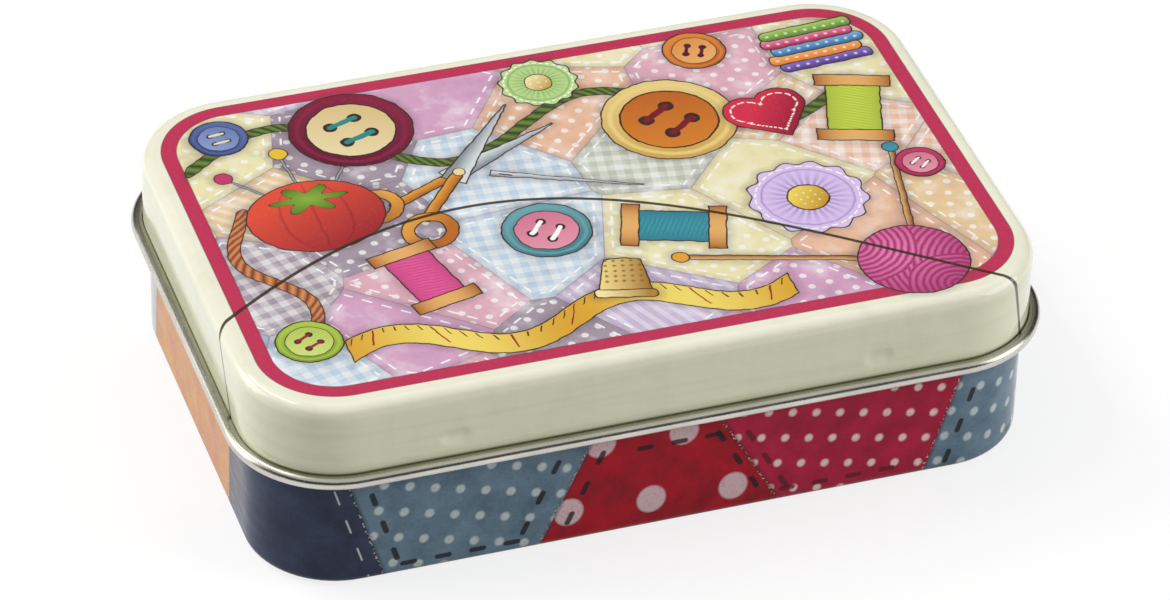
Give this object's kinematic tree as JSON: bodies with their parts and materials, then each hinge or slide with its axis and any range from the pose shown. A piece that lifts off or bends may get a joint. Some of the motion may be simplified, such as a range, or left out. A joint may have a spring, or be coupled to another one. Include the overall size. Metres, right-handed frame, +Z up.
{
  "type": "sewing tin",
  "caption": "Small rectangular sheet-metal tin with rounded corners and a hinged lid with a curled edge, for keeping needles, pins, buttons and other sewing notions.",
  "frame": {"origin": "centre of the footprint on the plane that the tin stands on", "axes": "+X along the length, +Y towards the hinged back, +Z up"},
  "size_m": [0.1092, 0.0732, 0.0285],
  "materials": {
    "printed_body": "glossy printed tinplate",
    "printed_lid": "satin printed tinplate, bare metal on the curl and inside"
  },
  "bodies": {
    "body": {"body": "printed_body"},
    "lid": {"lid": "printed_lid"}
  },
  "joints": [
    {"name": "lid_hinge", "type": "hinge", "parent": "body", "child": "lid", "pos_m": [0, 0.03409, 0.016], "axis": [-1, 0, 0], "range_deg": [0, 108]}
  ]
}
